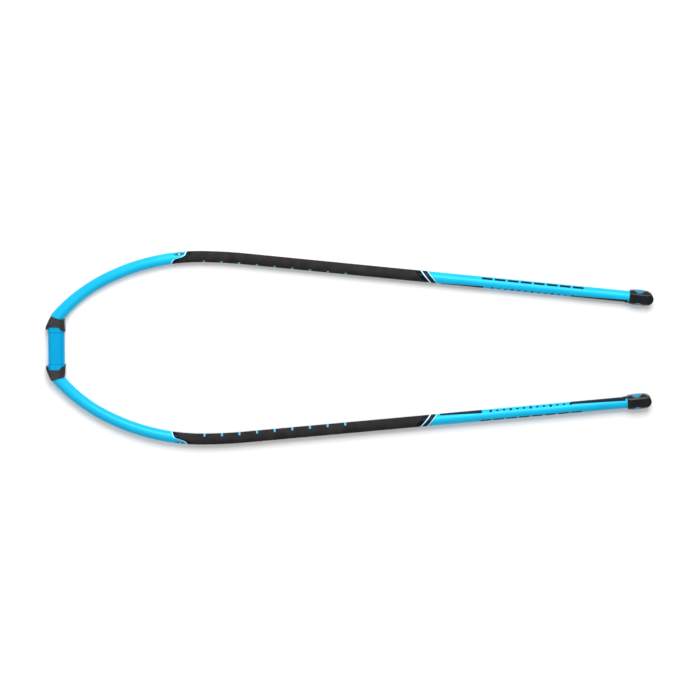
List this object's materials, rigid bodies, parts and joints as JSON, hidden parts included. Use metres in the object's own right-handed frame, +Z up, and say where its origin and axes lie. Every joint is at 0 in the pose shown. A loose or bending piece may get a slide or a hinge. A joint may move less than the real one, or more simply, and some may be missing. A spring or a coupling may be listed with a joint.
{
  "type": "windsurf boom",
  "caption": "Wishbone boom body: two bent arm tubes joined by a head bar, foam grips, and a tail socket with hinged pin locks on each arm.",
  "frame": {"origin": "centre of the bounding box in X and Y, at the lowest face, on which the boom lies flat", "axes": "+X from the head bar to the tail sockets, +Y towards the right arm seen from above with the head in front, +Z up, normal to the plane of the two arms"},
  "size_m": [1.5901, 0.517, 0.036],
  "materials": {
    "tube_blue": "gloss anodised blue",
    "grip_foam": "matt closed-cell foam, pebbled",
    "bar_blue": "satin deep blue",
    "corner_black": "matt glass-filled nylon",
    "housing_black": "matt glass-filled nylon",
    "lever_blue": "satin teal blue",
    "pin_steel": "stainless",
    "spring_steel": "stainless wire",
    "bung_foam": "closed-cell foam",
    "rivet_alu": "satin aluminium"
  },
  "bodies": {
    "boom": {"head_bar": "bar_blue", "head_rivets": "rivet_alu", "tail_rivets": "rivet_alu", "hinge_pins": "pin_steel", "float_bung_right": "bung_foam", "front_tube_right": "tube_blue", "rear_tube_right": "tube_blue", "grip_right": "grip_foam", "corner_block_right": "corner_black", "tail_housing_right": "housing_black", "lever_spring_outer_right": "spring_steel", "lever_spring_inner_right": "spring_steel", "float_bung_left": "bung_foam", "front_tube_left": "tube_blue", "rear_tube_left": "tube_blue", "grip_left": "grip_foam", "corner_block_left": "corner_black", "tail_housing_left": "housing_black", "lever_spring_outer_left": "spring_steel", "lever_spring_inner_left": "spring_steel"},
    "lever_outer_right": {"lock_lever_outer_right": "lever_blue", "lock_pin_outer_right": "pin_steel"},
    "lever_inner_right": {"lock_lever_inner_right": "lever_blue", "lock_pin_inner_right": "pin_steel"},
    "lever_outer_left": {"lock_lever_outer_left": "lever_blue", "lock_pin_outer_left": "pin_steel"},
    "lever_inner_left": {"lock_lever_inner_left": "lever_blue", "lock_pin_inner_left": "pin_steel"}
  },
  "joints": [
    {"name": "outer_right_lever_hinge", "type": "hinge", "parent": "boom", "child": "lever_outer_right", "pos_m": [0.7424, 0.15755, 0.018], "axis": [0, 0, 1], "range_deg": [0, 25], "stiffness_Nm_per_rad": 0.08, "springref_deg": -51.57, "deforming": ["lever_spring_outer_right"]},
    {"name": "inner_right_lever_hinge", "type": "hinge", "parent": "boom", "child": "lever_inner_right", "pos_m": [0.7391, 0.12331, 0.018], "axis": [0, 0, -1], "range_deg": [0, 25], "stiffness_Nm_per_rad": 0.08, "springref_deg": -51.57, "deforming": ["lever_spring_inner_right"]},
    {"name": "outer_left_lever_hinge", "type": "hinge", "parent": "boom", "child": "lever_outer_left", "pos_m": [0.7424, -0.15755, 0.018], "axis": [0, 0, -1], "range_deg": [0, 25], "stiffness_Nm_per_rad": 0.08, "springref_deg": -51.57, "deforming": ["lever_spring_outer_left"]},
    {"name": "inner_left_lever_hinge", "type": "hinge", "parent": "boom", "child": "lever_inner_left", "pos_m": [0.7391, -0.12331, 0.018], "axis": [0, 0, 1], "range_deg": [0, 25], "stiffness_Nm_per_rad": 0.08, "springref_deg": -51.57, "deforming": ["lever_spring_inner_left"]}
  ]
}
